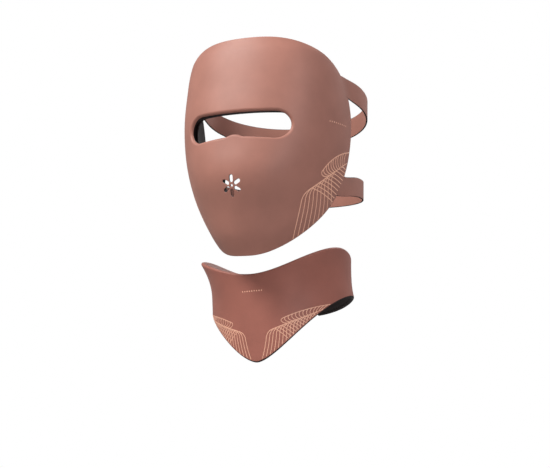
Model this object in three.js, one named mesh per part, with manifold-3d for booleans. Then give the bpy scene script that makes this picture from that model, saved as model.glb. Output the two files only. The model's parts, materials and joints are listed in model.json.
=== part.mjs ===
// Light-therapy face mask with its matching neck collar, in millimetres, +Z up.
// The face looks along -Y and +X is the wearer's left. Each unit is a soft cover outside, a thin liner on the
// skin side, and LED strips with their electronics in the hollow between the two. Two head straps hinge at the
// mask's edges, the collar's two arms hinge at its sides, and every pair meets at a clasp behind the head.
import * as THREE from "three";
import { mergeVertices } from "three/addons/utils/BufferGeometryUtils.js";
import Module from "manifold-3d";

const wasm = await Module();
wasm.setup();

// ---------------------------------------------------------------- driving dimensions
const FACE = {
  top: 109, bottom: 122, // heights above and below the bridge of the nose
  topPower: 2.7, bottomPower: 2.6, // superellipse powers of the outline
  rimDepth: 15.5, // how far the side edges reach behind the bridge
  cover: 2.2, liner: 1.6, rimGap: 0.6, hollow: 5.6, // layers, from the outside in
};
// Loft stations: height, half width of the section, depth of its front.
const FACE_STATIONS = [
  [-122, 33, 68], [-98, 50, 80], [-62, 69, 86], [-21, 81, 93],
  [19, 86, 93], [58, 86, 86], [92, 82, 79], [109, 72, 73],
];
const SECTION = { cheek: 0.7, corner: 1.08, cornerDepth: 0.65, rim: 1.045 }; // shape of every level section
const NOSE = { swell: 10, z: -46, spread: 32 }; // rounded swelling over the nose and mouth
const SLOT = { halfWidth: 57, low: -4, high: 24.8, noseLow: -1.6, noseRise: 2.6, noseHalf: 12 };
const GASKET = { wall: 2.2, front: 2.9, back: 13 };
const NOSE_PAD = { gap: 1.1, thickness: 3.6 };
const VENT = { z: -53, slits: 6, from: 3.2, to: 11, radius: 1.9, centre: 1.4, chamber: 13.5 };
const STRIP = { board: 0.6, emitter: 1, clear: 0.5, emitterSide: 3.4 };
const CONTROLS = { u: -0.74, buttonZ: 46, lightZ: 60, contactZ: 28 };
const HOLE_GAP = 0.35; // clearance round every control that comes through a cover
const BUTTON = { radius: 5, proud: 0.8, bevel: 0.4, lip: 0.9, lipThickness: 0.6, behind: 1.1 };
const COLLAR_BUTTON = { ...BUTTON, radius: 4.5, behind: 0.35 };
const LIGHT = { radius: 1.3, proud: 0.2, behind: 0.6 };
const CONTACT = { radius: 6, proud: 0.5, behind: 0.8 };
const COLLAR_BEHIND = 0.3; // how far the collar's light and contact reach behind its cover
const BAND = { thickness: 1.8, rootGap: 0.9 };
const UPPER = { rootLow: 54, rootHigh: 76, side: [95.5, 43], rear: 112, slope: 0.25, sideZ: 58.5,
  height: 23, cornerX: 0.55, cornerY: 0.6 };
const LOWER = { rootLow: -51, rootHigh: -29, side: [83, 66], rear: 132, slope: -0.02, sideZ: -33,
  height: 22, cornerX: 0.61, cornerY: 0.64 };
const CLASP = { length: 9, thickness: 5, gap: 0.25 };
const COLLAR = {
  radiusX: 78, radiusY: 82.5, centreY: 45, z: -133, tilt: 4.4, tiltCentreZ: -163,
  cover: 1.8, liner: 1.2, rimGap: 0.6, hollow: 3.9, split: 96, splitGap: 0.6,
};
const COLLAR_CLASP = { length: 10, thickness: 8, height: 30, gap: 0.25 };

// ---------------------------------------------------------------- materials
function finish(color, roughness, metalness = 0) {
  return new THREE.MeshStandardMaterial({ color, roughness, metalness, flatShading: true });
}
const silicone = () => finish(0xb07c6c, 0.55);
const liningSilicone = () => finish(0x2d1e1e, 0.6);
const flexBoard = () => finish(0xb4642d, 0.5);
const board = () => finish(0x1e5a37, 0.5);
const foil = () => finish(0xb9bcc0, 0.35, 0.7);
const darkPlastic = () => finish(0x4a3531, 0.45);
const gold = () => finish(0xd9b36a, 0.3, 1);
const lens = () => finish(0xf2efe8, 0.2);

// ---------------------------------------------------------------- solids
const { sin, cos, abs, min, max, sign, PI, exp } = Math;
const radians = (degrees) => (degrees * PI) / 180;
const mix = (a, b, t) => a + (b - a) * t;
function smooth(t) {
  const c = min(max(t, 0), 1);
  return c * c * (3 - 2 * c);
}

/** Merges equal points, drops empty triangles and turns every face outwards. */
function closed(geometry) {
  const bare = geometry.index ? geometry.toNonIndexed() : geometry.clone();
  bare.deleteAttribute("normal");
  bare.deleteAttribute("uv");
  const merged = mergeVertices(bare, 1e-4);
  const place = merged.attributes.position;
  const corner = [0, 1, 2].map(() => new THREE.Vector3());
  const kept = [];
  let volume = 0;
  for (let i = 0; i < merged.index.count; i += 3) {
    const [a, b, c] = [0, 1, 2].map((k) => merged.index.getX(i + k));
    if (a === b || b === c || c === a) continue;
    kept.push([a, b, c]);
    [a, b, c].forEach((v, k) => corner[k].fromBufferAttribute(place, v));
    volume += corner[0].dot(corner[1].clone().cross(corner[2]));
  }
  merged.setIndex(kept.flatMap(([a, b, c]) => (volume > 0 ? [a, b, c] : [a, c, b])));
  return merged;
}

function solid(geometry) {
  const ready = closed(geometry);
  return new wasm.Manifold(new wasm.Mesh({
    numProp: 3,
    vertProperties: new Float32Array(ready.attributes.position.array),
    triVerts: new Uint32Array(ready.index.array),
  }));
}

function geometryOf(manifold) {
  const mesh = manifold.getMesh();
  const geometry = new THREE.BufferGeometry();
  geometry.setAttribute("position", new THREE.BufferAttribute(new Float32Array(mesh.vertProperties), 3));
  geometry.setIndex([...mesh.triVerts]);
  return geometry;
}

/** A skin of even topology: point(a, b, side) with a and b from 0 to 1, side 0 outside and 1 inside. */
function slab(point, columns, rows) {
  const at = (i, j, side) => point(i / columns, j / rows, side);
  const corners = [];
  const quad = (p, q, r, s) => corners.push(p, q, r, p, r, s);
  for (let j = 0; j < rows; j++) {
    for (let i = 0; i < columns; i++) {
      quad(at(i, j, 0), at(i + 1, j, 0), at(i + 1, j + 1, 0), at(i, j + 1, 0));
      quad(at(i, j, 1), at(i, j + 1, 1), at(i + 1, j + 1, 1), at(i + 1, j, 1));
    }
    quad(at(0, j, 0), at(0, j + 1, 0), at(0, j + 1, 1), at(0, j, 1));
    quad(at(columns, j, 1), at(columns, j + 1, 1), at(columns, j + 1, 0), at(columns, j, 0));
  }
  for (let i = 0; i < columns; i++) {
    quad(at(i, 0, 1), at(i + 1, 0, 1), at(i + 1, 0, 0), at(i, 0, 0));
    quad(at(i, rows, 0), at(i + 1, rows, 0), at(i + 1, rows, 1), at(i, rows, 1));
  }
  return closed(new THREE.BufferGeometry().setFromPoints(corners));
}

// ---------------------------------------------------------------- the face's surface
/** Smooth curve through the stations' column, with slopes taken across each station's neighbours. */
function stationCurve(column) {
  const at = FACE_STATIONS.map((row) => row[0]);
  const value = FACE_STATIONS.map((row) => row[column]);
  const last = at.length - 1;
  const slope = at.map((_, i) => {
    const [a, b] = [max(i - 1, 0), min(i + 1, last)];
    return (value[b] - value[a]) / (at[b] - at[a]);
  });
  return (z) => {
    const found = at.findIndex((station) => z <= station);
    const k = min(max(found < 0 ? last : found, 1), last);
    const span = at[k] - at[k - 1];
    const t = (z - at[k - 1]) / span;
    return value[k - 1] * (1 + 2 * t) * (1 - t) ** 2 + slope[k - 1] * span * t * (1 - t) ** 2
      + value[k] * t * t * (3 - 2 * t) + slope[k] * span * t * t * (t - 1);
  };
}
const halfWidth = stationCurve(1);
const frontDepth = stationCurve(2);

/** A point of the outer face: u runs from -1 at the wearer's right to 1 at the left, z is the height. */
function facePoint(u, z) {
  const t = abs(u);
  const bend = [(1 - t) ** 3, 3 * t * (1 - t) ** 2, 3 * t * t * (1 - t), t ** 3];
  const across = bend[1] * SECTION.cheek + bend[2] * SECTION.corner + bend[3] * SECTION.rim;
  const along = bend[0] + bend[1] + bend[2] * SECTION.cornerDepth;
  const swell = NOSE.swell * exp(-(((z - NOSE.z) / NOSE.spread) ** 2)) * (1 - t * t) ** 4;
  const back = FACE.rimDepth * bend[3] - frontDepth(z) * along - swell;
  return new THREE.Vector3(sign(u) * halfWidth(z) * across, back, z);
}

function faceNormal(u, z) {
  const step = 1e-3;
  const across = facePoint(u + step, z).sub(facePoint(u - step, z));
  const up = facePoint(u, z + step).sub(facePoint(u, z - step));
  return across.cross(up).normalize();
}

function faceSkin(u, z, inward) {
  return facePoint(u, z).addScaledVector(faceNormal(u, z), -inward);
}

function outlinePower(z) {
  return z > 0 ? FACE.topPower : FACE.bottomPower;
}

function heightShare(z) {
  return min(z > 0 ? z / FACE.top : -z / FACE.bottom, 1);
}

/** How far u may go at a height before the outline ends the face. */
function reach(z) {
  const power = outlinePower(z);
  return (1 - heightShare(z) ** power) ** (1 / power);
}

/** Depth of the liner's outer side: shallow along the rim, full from a fifth of the way in. */
function linerDepth(u, z) {
  const power = outlinePower(z);
  const share = (abs(u) ** power + heightShare(z) ** power) ** (1 / power);
  return FACE.cover + FACE.rimGap + FACE.hollow * smooth((1 - share) / 0.2);
}

/** The whole face between two depths, each a function of (u, z). */
function faceShell(outer, inner) {
  return slab((a, b, side) => {
    const v = 2 * b - 1;
    const z = (v > 0 ? FACE.top : FACE.bottom) * sin((v * PI) / 2);
    const u = (2 * a - 1) * reach(z);
    return faceSkin(u, z, (side ? inner : outer)(u, z));
  }, 20, 18);
}

/** A patch of the face between two depths, columns by rows. */
function facePatch([uLow, uHigh], [zLow, zHigh], [outer, inner], columns, rows = 1) {
  const depth = (value, u, z) => (typeof value === "number" ? value : value(u, z));
  return slab((a, b, side) => {
    const u = mix(uLow, uHigh, a);
    const z = mix(zLow, zHigh, b);
    return faceSkin(u, z, depth(side ? inner : outer, u, z));
  }, columns, rows);
}

// ---------------------------------------------------------------- openings through the face
/** Extrudes a shape drawn in X and Z along Y, through the front of the face only. */
function frontPrism(shape, segments = 8) {
  const how = { depth: 110, bevelEnabled: false, curveSegments: segments };
  const prism = new THREE.ExtrudeGeometry(shape, how);
  prism.rotateX(PI / 2);
  prism.translate(0, -30, 0);
  return solid(prism);
}

/** The eye slot, a long round-ended opening whose lower edge climbs to the nose and humps over it. */
function slotShape(grow) {
  const radius = (SLOT.high - SLOT.low) / 2;
  const middle = (SLOT.high + SLOT.low) / 2;
  const end = SLOT.halfWidth - radius;
  const shape = new THREE.Shape();
  shape.absarc(end, middle, radius + grow, -PI / 2, PI / 2, false);
  shape.absarc(-end, middle, radius + grow, PI / 2, 1.5 * PI, false);
  const base = SLOT.noseLow - grow;
  const hump = base + SLOT.noseRise;
  const half = SLOT.noseHalf;
  shape.lineTo(-half, base);
  shape.bezierCurveTo(-half / 2, base, -half / 2, hump, 0, hump);
  shape.bezierCurveTo(half / 2, hump, half / 2, base, half, base);
  return shape;
}

const ventHole = (radius) => new THREE.Shape().absarc(0, VENT.z, radius, 0, 2 * PI, false);

/** The breathing vent: round-ended slits set like spokes about a small hole. */
function ventCutters() {
  const cutters = [frontPrism(ventHole(VENT.centre), 5)];
  for (let k = 0; k < VENT.slits; k++) {
    const turn = PI / 2 + (k * 2 * PI) / VENT.slits;
    const spot = (r) => [r * cos(turn), VENT.z + r * sin(turn)];
    const slit = new THREE.Shape();
    slit.absarc(...spot(VENT.to - VENT.radius), VENT.radius, turn - PI / 2, turn + PI / 2, false);
    slit.absarc(...spot(VENT.from + VENT.radius), VENT.radius, turn + PI / 2, turn + 1.5 * PI, false);
    cutters.push(frontPrism(slit, 4));
  }
  return cutters;
}

function cut(geometry, ...cutters) {
  return geometryOf(cutters.reduce((left, cutter) => left.subtract(cutter), solid(geometry)));
}

// ---------------------------------------------------------------- small round pieces set into a surface
/** A lathe of [radius, height] corners, turned so that its own +Z is the height. */
function turned(corners, segments = 16) {
  const profile = corners.map(([r, h]) => new THREE.Vector2(r, h));
  return new THREE.LatheGeometry(profile, segments).rotateX(PI / 2);
}

function plug(radius, outside, inside) {
  return turned([[0, -inside], [radius, -inside], [radius, outside], [0, outside]]);
}

/** A push button: a bevelled cap through the cover and a lip behind it that keeps it in. */
function buttonGeometry({ radius, proud, bevel, lip, lipThickness, behind }, cover) {
  const seatDepth = -cover - behind;
  return turned([
    [0, seatDepth - lipThickness], [radius + lip, seatDepth - lipThickness], [radius + lip, seatDepth],
    [radius, seatDepth], [radius, proud - bevel], [radius - bevel, proud], [0, proud],
  ]);
}

/** Position and turn that set a piece's own +Z along an outward normal. */
function seat(point, normal) {
  const turn = new THREE.Quaternion().setFromUnitVectors(new THREE.Vector3(0, 0, 1), normal);
  return { position: point, turn };
}
const faceSeat = (z) => seat(facePoint(CONTROLS.u, z), faceNormal(CONTROLS.u, z));

function seatedHole(radius, where) {
  const reachThrough = 6;
  const hole = plug(radius + HOLE_GAP, reachThrough, reachThrough);
  hole.applyQuaternion(where.turn);
  hole.translate(...where.position);
  return solid(hole);
}

// ---------------------------------------------------------------- LED strips
/** A flexible strip with its emitters: patch(aRange, bRange, depths, columns) makes each block of it. */
function ledStrip(patch, across, up, count, linerAt, spacing) {
  const top = (u, z) => linerAt(u, z) - STRIP.clear;
  const back = (u, z) => top(u, z) - STRIP.emitter;
  const behind = (u, z) => back(u, z) - STRIP.board;
  let strip = solid(patch(across, up, [behind, back], 2 * count));
  for (let k = 0; k < count; k++) {
    const centre = mix(across[0], across[1], (k + 0.5) / count);
    const half = spacing / 2;
    const height = (up[0] + up[1]) / 2;
    const root = (u, z) => back(u, z) - STRIP.board / 2;
    const block = patch([centre - half, centre + half],
      [height - STRIP.emitterSide / 2, height + STRIP.emitterSide / 2], [root, top], 1);
    strip = strip.add(solid(block));
  }
  return geometryOf(strip);
}

// ---------------------------------------------------------------- straps
/** Outer middle line of a strap on the +X side, from the mask's edge (t = 0) to the clasp (t = 1). */
function bandLine(band, h) {
  const level = (y) => band.sideZ - band.slope * (y - band.side[1]) + (h - 0.5) * band.height;
  const rootZ = mix(band.rootLow, band.rootHigh, h);
  const root = facePoint(reach(rootZ), rootZ).add(new THREE.Vector3(-BAND.thickness / 2, BAND.rootGap, 0));
  const [sideX, sideY] = band.side;
  const side = new THREE.Vector3(sideX, sideY, level(sideY));
  const lead = (sideY - root.y) * 0.36;
  const forward = new THREE.CubicBezierCurve3(
    root,
    new THREE.Vector3(mix(root.x, sideX, 0.45), root.y + lead, mix(root.z, side.z, 0.3)),
    new THREE.Vector3(sideX, sideY - lead, level(sideY - lead)),
    side,
  );
  const endX = CLASP.length + 2 * CLASP.gap;
  const cornerY = mix(sideY, band.rear, band.cornerY);
  const rearward = new THREE.CubicBezierCurve3(
    side,
    new THREE.Vector3(sideX, cornerY, level(cornerY)),
    new THREE.Vector3(sideX * band.cornerX, band.rear, level(band.rear)),
    new THREE.Vector3(endX, band.rear, level(band.rear)),
  );
  return (t) => (t < 0.4 ? forward.getPoint(t / 0.4) : rearward.getPoint((t - 0.4) / 0.6));
}

function bandGeometry(band, mirror) {
  return slab((a, b, side) => {
    const line = bandLine(band, b);
    const here = line(a);
    const tangent = line(min(a + 0.01, 1)).sub(line(max(a - 0.01, 0)));
    const outward = new THREE.Vector3(tangent.y, -tangent.x, 0).normalize();
    const point = here.addScaledVector(outward, (side ? -0.5 : 0.5) * BAND.thickness);
    point.x *= mirror;
    return point;
  }, 20, 2);
}

/** One clasp half: a block with rounded ends on the strap side and a flat face at the middle plane. */
function claspGeometry({ length, thickness, gap }, height, mirror) {
  const round = thickness / 2 - 0.3;
  const shape = new THREE.Shape();
  shape.moveTo(gap, -thickness / 2);
  shape.lineTo(gap + length - round, -thickness / 2);
  shape.absarc(gap + length - round, -thickness / 2 + round, round, -PI / 2, 0, false);
  shape.absarc(gap + length - round, thickness / 2 - round, round, 0, PI / 2, false);
  shape.lineTo(gap, thickness / 2);
  const block = new THREE.ExtrudeGeometry(shape, { depth: height, bevelEnabled: false, curveSegments: 4 });
  block.translate(0, 0, -height / 2);
  block.scale(mirror, 1, 1);
  return closed(block);
}

// ---------------------------------------------------------------- the collar's surface
const collarTop = (a) => 10.5 - 1 * cos(a) - 10 * cos(2 * a) - 3.5 * cos(3 * a);

/** The lower edge: a shallow wave with a bib that hangs at the front. */
function collarBottom(a) {
  const bib = 49 * exp(-((abs(a) / radians(43.4)) ** 1.6));
  return -(36 + 4 * cos(a) + 8 * cos(2 * a) + bib);
}

/** A point of the collar: a is the angle from the front towards the wearer's left, f runs up from 0 to 1. */
function collarSkin(a, f, inward) {
  const topFlare = 1.2 + 11 * exp(-(((abs(a) - radians(50)) / radians(28)) ** 2));
  const bottomFlare = 4 * (0.5 - 0.5 * cos(a)) ** 2;
  const flare = topFlare * max((f - 0.35) / 0.65, 0) ** 2 + bottomFlare * max((0.4 - f) / 0.4, 0) ** 2;
  const grow = flare - inward;
  return new THREE.Vector3(
    (COLLAR.radiusX + grow) * sin(a),
    COLLAR.centreY - (COLLAR.radiusY + grow) * cos(a),
    COLLAR.z - COLLAR.tiltCentreZ + mix(collarBottom(a), collarTop(a), f),
  );
}

/** Depth of the collar liner's outer side: shallow along both edges, full 12 mm in from them. */
function collarLinerDepth(a, f) {
  const height = collarTop(a) - collarBottom(a);
  return COLLAR.cover + COLLAR.rimGap + COLLAR.hollow * smooth((min(f, 1 - f) * height) / 12);
}

function collarPatch([low, high], [fLow, fHigh], [outer, inner], columns, rows = 1) {
  const depth = (value, a, f) => (typeof value === "number" ? value : value(a, f));
  return slab((s, t, side) => {
    const a = radians(mix(low, high, s));
    const f = mix(fLow, fHigh, t);
    return collarSkin(a, f, depth(side ? inner : outer, a, f));
  }, columns, rows);
}

/** The collar's patches with the height as a distance in millimetres above the middle of the wall. */
function collarBand(across, up, depths, columns, rows = 1) {
  const depth = (value, a, f) => (typeof value === "number" ? value : value(a, f));
  return slab((s, t, side) => {
    const a = radians(mix(across[0], across[1], s));
    const height = collarTop(a) - collarBottom(a);
    const f = (mix(up[0], up[1], t) - collarBottom(a)) / height;
    return collarSkin(a, f, depth(side ? depths[1] : depths[0], a, f));
  }, columns, rows);
}

const collarNormal = (a) => new THREE.Vector3(sin(a), -cos(a), 0);
function collarSeat(degrees, level) {
  const a = radians(degrees);
  const f = (level - collarBottom(a)) / (collarTop(a) - collarBottom(a));
  return seat(collarSkin(a, f, 0), collarNormal(a));
}

// ---------------------------------------------------------------- the assembly
const assembly = new THREE.Group();
const face = new THREE.Group();
const collar = new THREE.Group();
collar.position.z = COLLAR.tiltCentreZ;
collar.rotation.y = -radians(COLLAR.tilt);
assembly.add(face, collar);

function add(group, name, geometry, material, where) {
  const mesh = new THREE.Mesh(geometry, material);
  mesh.name = name;
  if (where) {
    mesh.position.copy(where.position);
    mesh.quaternion.copy(where.turn);
  }
  group.add(mesh);
}

function buildFaceShells() {
  const button = faceSeat(CONTROLS.buttonZ);
  const light = faceSeat(CONTROLS.lightZ);
  const contact = faceSeat(CONTROLS.contactZ);
  add(face, "face_cover", cut(
    faceShell(() => 0, () => FACE.cover),
    frontPrism(slotShape(0)),
    ...ventCutters(),
    seatedHole(BUTTON.radius, button),
    seatedHole(LIGHT.radius, light),
    seatedHole(CONTACT.radius, contact),
  ), silicone());
  add(face, "face_liner", cut(
    faceShell(linerDepth, (u, z) => linerDepth(u, z) + FACE.liner),
    frontPrism(slotShape(GASKET.wall + 0.4)),
    frontPrism(ventHole(VENT.chamber)),
  ), liningSilicone());
  const around = solid(facePatch([-0.55, 0.55], [-14, 40], [GASKET.front, GASKET.back], 16, 4));
  const ring = frontPrism(slotShape(GASKET.wall)).subtract(frontPrism(slotShape(0)));
  add(face, "eye_gasket", geometryOf(around.intersect(ring)), liningSilicone());
  const padFront = FACE.cover + FACE.rimGap + FACE.hollow + FACE.liner + NOSE_PAD.gap;
  const padDepths = [padFront, padFront + NOSE_PAD.thickness];
  add(face, "nose_pad", facePatch([-0.13, 0.13], [-30, -8], padDepths, 6, 3), liningSilicone());
}

function buildFaceLeds() {
  const rows = [
    ["forehead_upper", [-0.45, 0.45], [77, 85], 9],
    ["forehead_lower", [-0.7, 0.7], [46, 54], 13],
    ["temple_left", [0.54, 0.62], [-4, 36], 1],
    ["temple_right", [-0.62, -0.54], [-4, 36], 1],
    ["cheek_left", [0.2, 0.72], [-33, -25], 6],
    ["cheek_right", [-0.72, -0.2], [-33, -25], 6],
    ["jaw_left", [0.2, 0.68], [-66, -58], 5],
    ["jaw_right", [-0.68, -0.2], [-66, -58], 5],
    ["nose", [-0.13, 0.13], [-22, -15], 2],
    ["chin", [-0.38, 0.38], [-96, -88], 6],
  ];
  for (const [place, across, up, count] of rows) {
    const name = `led_strip_${place}`;
    add(face, name, ledStrip(facePatch, across, up, count, linerDepth, 0.025), flexBoard());
  }
  for (const [side, mirror] of [["left", 1], ["right", -1]]) {
    const across = [0.45 * mirror, 0.5 * mirror].sort((a, b) => a - b);
    const depths = [FACE.cover + 0.9, FACE.cover + 1.3];
    add(face, `side_flex_${side}`, facePatch(across, [-94, 82], depths, 1, 14), flexBoard());
  }
}

function buildFaceControls() {
  const button = faceSeat(CONTROLS.buttonZ);
  add(face, "power_button", buttonGeometry(BUTTON, FACE.cover), darkPlastic(), button);
  const light = plug(LIGHT.radius, LIGHT.proud, FACE.cover + LIGHT.behind);
  add(face, "status_light", light, lens(), faceSeat(CONTROLS.lightZ));
  const contact = plug(CONTACT.radius, CONTACT.proud, FACE.cover + CONTACT.behind);
  add(face, "charge_contact", contact, gold(), faceSeat(CONTROLS.contactZ));
  add(face, "battery", facePatch([-0.3, 0.3], [58, 76], [FACE.cover + 0.6, FACE.cover + 3.2], 8, 2), foil());
  const boardDepths = [FACE.cover + 2.5, FACE.cover + 3.3];
  add(face, "control_board", facePatch([-0.78, -0.66], [24, 60], boardDepths, 4, 4), board());
}

function buildStraps() {
  for (const [level, band] of [["upper", UPPER], ["lower", LOWER]]) {
    const rearZ = band.sideZ - band.slope * (band.rear - band.side[1]);
    for (const [side, mirror] of [["left", 1], ["right", -1]]) {
      add(face, `${level}_strap_${side}`, bandGeometry(band, mirror), silicone());
      const clasp = claspGeometry(CLASP, band.height + 1, mirror);
      clasp.translate(0, band.rear, rearZ);
      add(face, `${level}_clasp_${side}`, clasp, darkPlastic());
      const anchor = slab((a, b, inside) => {
        const z = mix(band.rootLow + 3, band.rootHigh - 3, b);
        const u = mirror * mix(0.7, 0.8, a) * reach(z);
        return faceSkin(u, z, FACE.cover + (inside ? 2 : 1));
      }, 2, 3);
      add(face, `${level}_anchor_${side}`, anchor, darkPlastic());
    }
  }
}

function buildCollarFront() {
  const { split, cover, liner } = COLLAR;
  const front = [-split, split];
  const button = collarSeat(-84, -6);
  const light = collarSeat(-84, 6);
  const contact = collarSeat(-84, -24);
  add(collar, "collar_cover", cut(
    collarPatch(front, [0, 1], [0, cover], 30, 6),
    seatedHole(COLLAR_BUTTON.radius, button),
    seatedHole(LIGHT.radius, light),
    seatedHole(CONTACT.radius, contact),
  ), silicone());
  const linerInside = (a, f) => collarLinerDepth(a, f) + liner;
  const linerDepths = [collarLinerDepth, linerInside];
  add(collar, "collar_liner", collarPatch(front, [0, 1], linerDepths, 30, 6), liningSilicone());
  const rows = [
    ["front_upper", [-28, 28], [-25, -18], 7],
    ["front_lower", [-16, 16], [-66, -59], 4],
    ["side_left", [38, 90], [-12, -5], 6],
    ["side_right", [-90, -38], [-12, -5], 6],
  ];
  for (const [place, across, up, count] of rows) {
    const strip = ledStrip(collarBand, across, up, count, collarLinerDepth, 2.6);
    add(collar, `collar_led_strip_${place}`, strip, flexBoard());
  }
  const back = cover + COLLAR_BEHIND;
  add(collar, "collar_button", buttonGeometry(COLLAR_BUTTON, cover), darkPlastic(), button);
  add(collar, "collar_status_light", plug(LIGHT.radius, LIGHT.proud, back), lens(), light);
  add(collar, "collar_charge_contact", plug(CONTACT.radius, CONTACT.proud, back), gold(), contact);
  const batteryDepths = [cover + 0.5, cover + 2];
  add(collar, "collar_battery", collarBand([-72, -48], [-22, 2], batteryDepths, 6, 4), foil());
  const boardDepths = [cover + 1.65, cover + 2.1];
  add(collar, "collar_board", collarBand([-92, -75], [-24, 10], boardDepths, 4, 4), board());
}

function buildCollarArms() {
  const { split, splitGap, cover, liner } = COLLAR;
  const start = split + (splitGap / COLLAR.radiusX) * (180 / PI);
  const end = 180 - ((COLLAR_CLASP.length + 3 * COLLAR_CLASP.gap) / COLLAR.radiusX) * (180 / PI);
  const rearLevel = (collarTop(PI) + collarBottom(PI)) / 2 + COLLAR.z - COLLAR.tiltCentreZ;
  for (const [side, mirror] of [["left", 1], ["right", -1]]) {
    const span = [start * mirror, end * mirror];
    add(collar, `collar_arm_cover_${side}`, collarPatch(span, [0, 1], [0, cover], 12, 5), silicone());
    const linerInside = (a, f) => collarLinerDepth(a, f) + liner;
    const lining = collarPatch(span, [0, 1], [collarLinerDepth, linerInside], 12, 5);
    add(collar, `collar_arm_liner_${side}`, lining, liningSilicone());
    const strip = ledStrip(collarBand, [104 * mirror, 158 * mirror], [-16, -9], 6, collarLinerDepth, 2.6);
    add(collar, `collar_arm_led_strip_${side}`, strip, flexBoard());
    const clasp = claspGeometry(COLLAR_CLASP, COLLAR_CLASP.height, mirror);
    clasp.translate(0, COLLAR.centreY + COLLAR.radiusY - COLLAR_CLASP.thickness / 2 + 1.2, rearLevel);
    add(collar, `collar_clasp_${side}`, clasp, darkPlastic());
  }
}

buildFaceShells();
buildFaceLeds();
buildFaceControls();
buildStraps();
buildCollarFront();
buildCollarArms();

// The origin is the middle of the underside of the whole object's box.
const bounds = new THREE.Box3().setFromObject(assembly, true);
const middle = bounds.getCenter(new THREE.Vector3());
assembly.position.set(-middle.x, -middle.y, -bounds.min.z);
assembly.updateMatrixWorld(true);

export default assembly;
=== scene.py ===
"""Looks of the light-therapy face mask and its matching neck collar.

Shapes are worked out in millimetres in the face's own frame: its origin lies inside the head, level with the
bridge of the nose. The face looks along -Y, +X is the wearer's left and +Z is up. Each mesh is then made in
metres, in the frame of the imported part.
A sheet is drawn in a flat domain of (across, height), both in millimetres, and a surface function lifts it.
"""

import json
from math import cos, pi, radians, sin

import bpy
import numpy as np
from mathutils import Matrix, Vector
from mathutils.geometry import delaunay_2d_cdt


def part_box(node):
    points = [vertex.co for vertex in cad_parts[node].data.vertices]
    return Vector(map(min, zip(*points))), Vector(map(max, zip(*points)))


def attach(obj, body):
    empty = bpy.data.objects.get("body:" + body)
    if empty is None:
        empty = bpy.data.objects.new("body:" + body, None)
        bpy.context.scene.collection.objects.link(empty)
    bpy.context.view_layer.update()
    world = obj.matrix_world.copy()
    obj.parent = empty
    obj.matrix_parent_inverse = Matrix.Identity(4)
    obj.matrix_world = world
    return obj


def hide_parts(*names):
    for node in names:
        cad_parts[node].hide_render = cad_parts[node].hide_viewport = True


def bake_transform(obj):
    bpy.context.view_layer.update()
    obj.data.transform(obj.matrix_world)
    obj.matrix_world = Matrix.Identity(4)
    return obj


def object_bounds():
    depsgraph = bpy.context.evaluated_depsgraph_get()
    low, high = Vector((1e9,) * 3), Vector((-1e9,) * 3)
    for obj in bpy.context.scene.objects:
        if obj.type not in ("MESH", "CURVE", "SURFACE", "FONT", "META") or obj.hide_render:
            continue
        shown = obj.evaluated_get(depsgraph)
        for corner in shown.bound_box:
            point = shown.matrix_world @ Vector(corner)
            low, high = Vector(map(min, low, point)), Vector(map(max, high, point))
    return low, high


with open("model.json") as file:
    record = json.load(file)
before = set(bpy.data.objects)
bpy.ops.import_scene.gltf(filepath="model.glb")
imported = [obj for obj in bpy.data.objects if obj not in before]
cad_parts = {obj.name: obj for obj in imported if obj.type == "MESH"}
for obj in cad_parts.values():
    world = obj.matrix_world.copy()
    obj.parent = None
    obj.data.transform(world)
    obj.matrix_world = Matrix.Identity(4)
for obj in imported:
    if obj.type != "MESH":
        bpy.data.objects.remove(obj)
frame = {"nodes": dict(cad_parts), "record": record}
cad_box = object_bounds()

# ---------------------------------------------------------------- driving dimensions, in millimetres
MM = 0.001
ARC = 88  # millimetres across the face for one unit of u
COLLAR_ARC = 80  # millimetres round the collar for one radian
FACE_TOP, FACE_BOTTOM = 109, 122
TOP_POWER, BOTTOM_POWER = 2.7, 2.6
RIM_DEPTH = 15.5
COVER, LINER, RIM_GAP, HOLLOW = 2.2, 1.6, 0.6, 5.6
# Loft stations: height, half width of the section, depth of its front.
STATIONS = np.array([
    (-122, 33, 68), (-98, 50, 80), (-62, 69, 86), (-21, 81, 93),
    (19, 86, 93), (58, 86, 86), (92, 82, 79), (109, 72, 73),
], float)
CHEEK, CORNER, CORNER_DEPTH, RIM = 0.7, 1.08, 0.65, 1.045
NOSE_SWELL, NOSE_HEIGHT, NOSE_SPREAD = 10, -46, 32
SLOT_HALF, SLOT_LOW, SLOT_HIGH = 57, -4, 24.8
NOSE_LOW, NOSE_RISE, NOSE_HALF = -1.6, 2.6, 12
SLOT_LIP = 3.0
GASKET_WALL, GASKET_BACK = 2.2, 13
VENT_HEIGHT, VENT_SLITS, VENT_FROM, VENT_TO, VENT_RADIUS = -53, 6, 3.2, 11, 1.9
VENT_CENTRE, VENT_CHAMBER = 1.4, 13.5
CONTROL_U, BUTTON_HEIGHT, LIGHT_HEIGHT, CONTACT_HEIGHT = -0.74, 46, 60, 28
KEY_RADIUS, COLLAR_KEY_RADIUS, LIGHT_RADIUS, CONTACT_RADIUS = 5.0, 4.5, 1.3, 6.0
HOLE_GAP = 0.35
BAND_THICKNESS = 1.8
SIDES = (("left", 1), ("right", -1))  # name, and sign of X
UPPER = dict(root=(54, 76), side=(95.5, 43), rear=112, slope=0.25, level=58.5, height=23, corner=(0.55, 0.6))
LOWER = dict(root=(-51, -29), side=(83, 66), rear=132, slope=-0.02, level=-33, height=22, corner=(0.61, 0.64))
BANDS = (("upper", UPPER), ("lower", LOWER))
COLLAR_X, COLLAR_Y, COLLAR_CENTRE = 78, 82.5, 45
COLLAR_LEVEL, COLLAR_PIVOT, COLLAR_TILT = 30, -163, radians(4.4)
COLLAR_COVER, COLLAR_LINER, COLLAR_HOLLOW = 1.8, 1.2, 3.9
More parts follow.
